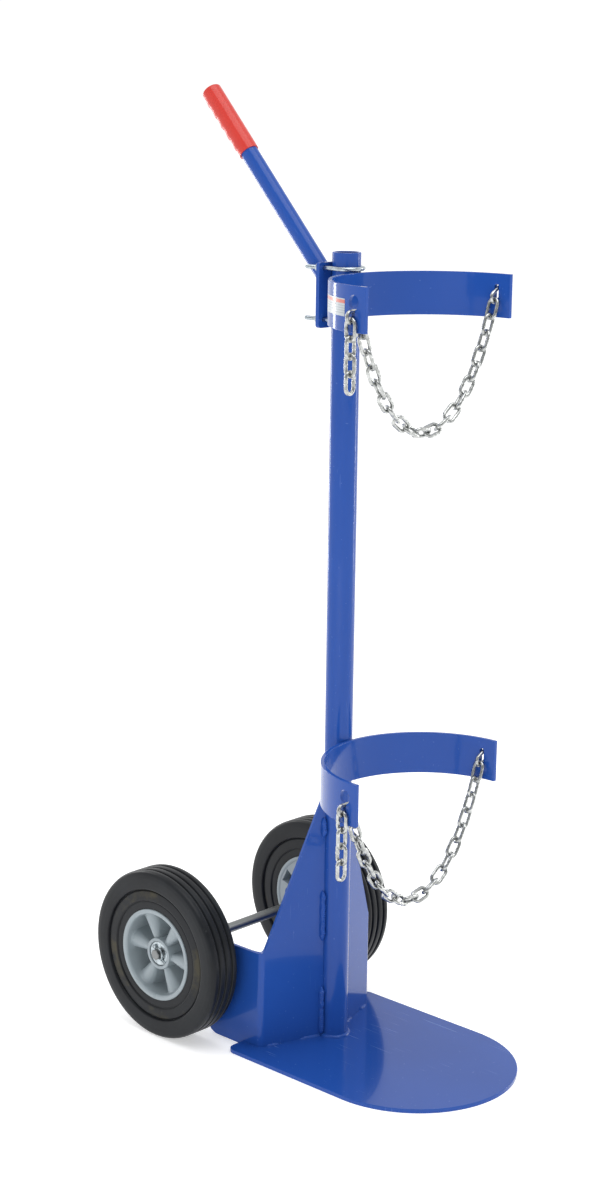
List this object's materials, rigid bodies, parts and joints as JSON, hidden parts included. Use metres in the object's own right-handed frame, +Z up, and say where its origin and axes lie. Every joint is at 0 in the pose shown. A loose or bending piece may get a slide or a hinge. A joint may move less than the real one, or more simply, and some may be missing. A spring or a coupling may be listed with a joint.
{
  "type": "oxy acetylene torch cart",
  "caption": "Gas cylinder hand truck: pipe mast on a round-nosed foot plate, half-ring saddles with chains, angled handle, wheels on an axle.",
  "frame": {"origin": "where the mast's axis meets the floor, on the foot plate's underside", "axes": "+Z up along the mast; -Y towards the foot plate's nose and the cylinders; +Y towards the axle and the handle; X along the axle, the keyholes on the -X side"},
  "size_m": [0.3998, 0.6507, 1.4449],
  "materials": {
    "blue_paint": "high-gloss powder coat",
    "zinc_chain": "bright zinc plate",
    "zinc_hardware": "bright zinc plate",
    "axle_steel": "dull bare steel",
    "tyre_rubber": "dark grey moulded rubber",
    "hub_plastic": "light grey moulded plastic, satin",
    "bush_bronze": "sintered bronze",
    "grip_vinyl": "soft red vinyl",
    "sticker": "blank sticker with a plain coloured bar"
  },
  "bodies": {
    "cart_frame": {"mast_tube": "blue_paint", "foot_plate": "blue_paint", "side_plate_left": "blue_paint", "side_plate_right": "blue_paint", "upper_saddle": "blue_paint", "lower_saddle": "blue_paint", "handle_plate": "blue_paint", "handle_tube": "blue_paint", "upper_chain_keyhole_link": "zinc_chain", "upper_chain_anchor_link": "zinc_chain", "lower_chain_keyhole_link": "zinc_chain", "lower_chain_anchor_link": "zinc_chain", "upper_u_bolt": "zinc_hardware", "lower_u_bolt": "zinc_hardware", "u_bolt_lock_washers": "zinc_hardware", "u_bolt_nuts": "zinc_hardware", "axle_washers": "zinc_hardware", "split_pins": "zinc_hardware", "axle": "axle_steel", "handle_grip": "grip_vinyl", "label": "sticker"},
    "left_wheel": {"left_tyre": "tyre_rubber", "left_hub": "hub_plastic", "left_outer_bush": "bush_bronze", "left_inner_bush": "bush_bronze"},
    "right_wheel": {"right_tyre": "tyre_rubber", "right_hub": "hub_plastic", "right_outer_bush": "bush_bronze", "right_inner_bush": "bush_bronze"},
    "upper_swag": {"upper_chain": "zinc_chain"},
    "lower_swag": {"lower_chain": "zinc_chain"},
    "upper_tail": {"upper_chain_tail": "zinc_chain"},
    "lower_tail": {"lower_chain_tail": "zinc_chain"}
  },
  "joints": [
    {"name": "left_wheel_spin", "type": "hinge", "parent": "cart_frame", "child": "left_wheel", "pos_m": [-0.1729, 0.1969, 0.13335], "axis": [1, 0, 0], "continuous": true},
    {"name": "right_wheel_spin", "type": "hinge", "parent": "cart_frame", "child": "right_wheel", "pos_m": [0.1729, 0.1969, 0.13335], "axis": [1, 0, 0], "continuous": true},
    {"name": "upper_swag_swing", "type": "hinge", "parent": "cart_frame", "child": "upper_swag", "pos_m": [-0.14475, -0.15665, 1.13572], "axis": [0.9996, 0, 0.0273], "range_deg": [-45, 35]},
    {"name": "upper_tail_swing", "type": "hinge", "parent": "cart_frame", "child": "upper_tail", "pos_m": [-0.1618, -0.15665, 1.13525], "axis": [1, 0, 0], "range_deg": [-25, 25]},
    {"name": "lower_swag_swing", "type": "hinge", "parent": "cart_frame", "child": "lower_swag", "pos_m": [-0.14475, -0.15665, 0.43602], "axis": [0.9996, 0, 0.0273], "range_deg": [-45, 35]},
    {"name": "lower_tail_swing", "type": "hinge", "parent": "cart_frame", "child": "lower_tail", "pos_m": [-0.1618, -0.15665, 0.43555], "axis": [1, 0, 0], "range_deg": [-25, 25]}
  ]
}
